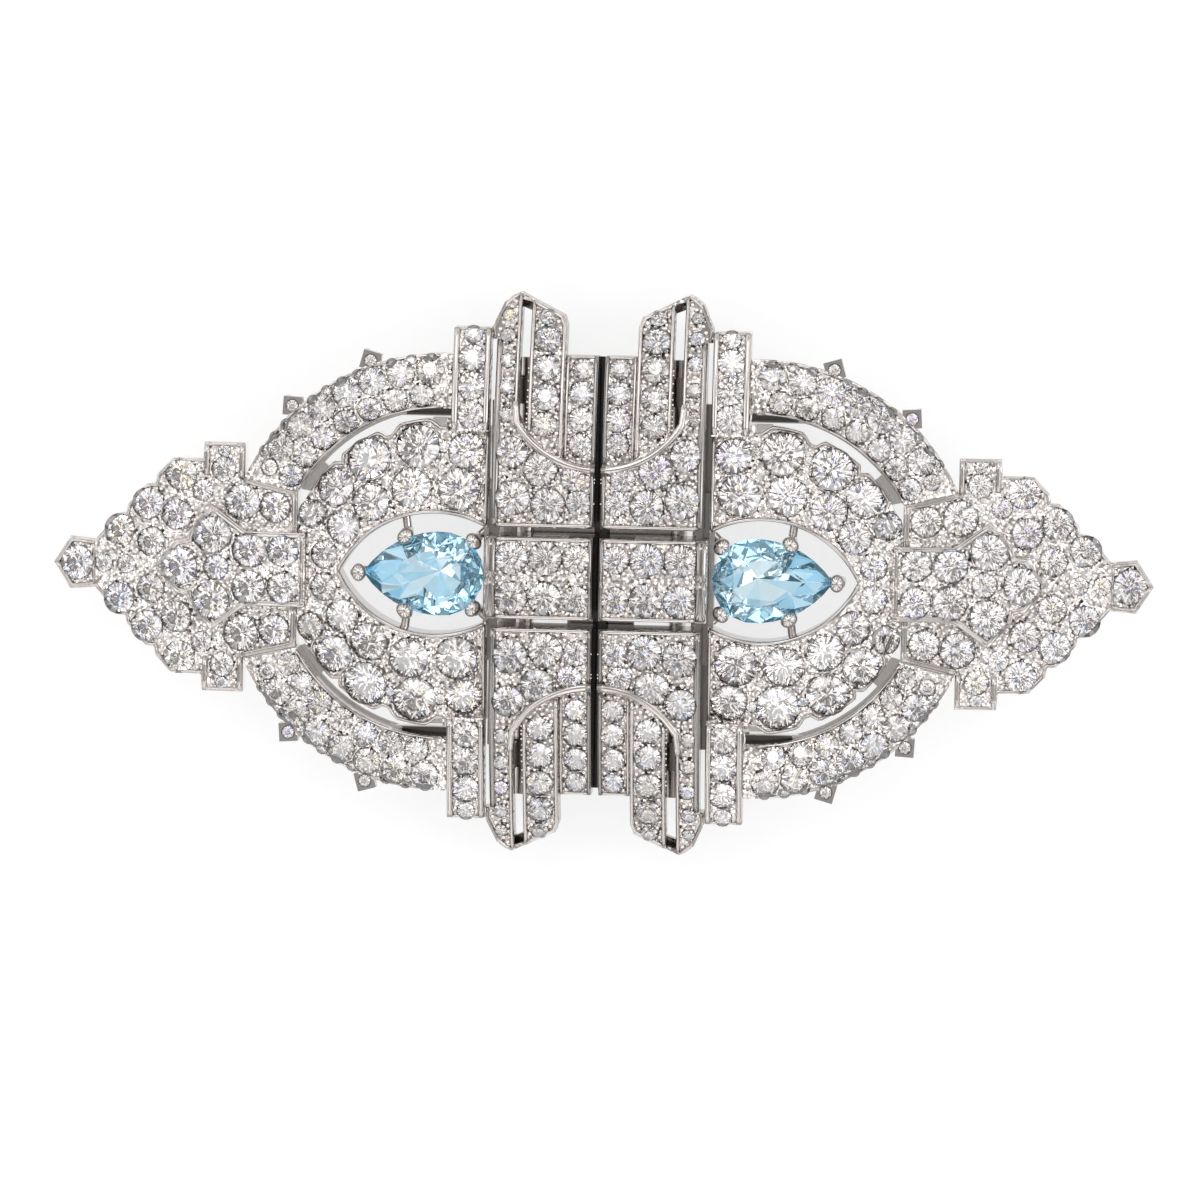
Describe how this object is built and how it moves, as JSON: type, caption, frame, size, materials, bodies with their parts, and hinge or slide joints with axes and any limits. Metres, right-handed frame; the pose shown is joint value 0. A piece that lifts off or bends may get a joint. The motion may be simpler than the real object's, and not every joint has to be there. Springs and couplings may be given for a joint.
{
  "type": "double clip brooch",
  "caption": "Pair of Art Deco dress clips on a brooch frame: scrolled, pierced, diamond-set fans, arcs and leaves around pear-shaped aquamarines.",
  "frame": {"origin": "middle of the brooch's outline, on the surface that it lies on", "axes": "+X along the brooch, +Y across it, +Z out of its jewelled face"},
  "size_m": [0.0772, 0.0392, 0.01],
  "materials": {
    "platinum": "polished",
    "diamond": "faceted",
    "aquamarine": "faceted"
  },
  "bodies": {
    "root": {"left_leaf": "platinum", "left_lunette": "platinum", "left_upper_arc": "platinum", "left_lower_arc": "platinum", "left_fans": "platinum", "left_clip_lever": "platinum", "left_aquamarine": "aquamarine", "left_leaf_diamonds": "diamond", "left_lunette_diamonds": "diamond", "left_upper_arc_diamonds": "diamond", "left_lower_arc_diamonds": "diamond", "left_fan_diamonds": "diamond", "left_bridge_diamonds": "diamond", "right_leaf": "platinum", "right_lunette": "platinum", "right_upper_arc": "platinum", "right_lower_arc": "platinum", "right_fans": "platinum", "right_clip_lever": "platinum", "right_aquamarine": "aquamarine", "right_leaf_diamonds": "diamond", "right_lunette_diamonds": "diamond", "right_upper_arc_diamonds": "diamond", "right_lower_arc_diamonds": "diamond", "right_fan_diamonds": "diamond", "right_bridge_diamonds": "diamond", "brooch_frame": "platinum", "brooch_pin": "platinum"}
  },
  "joints": []
}
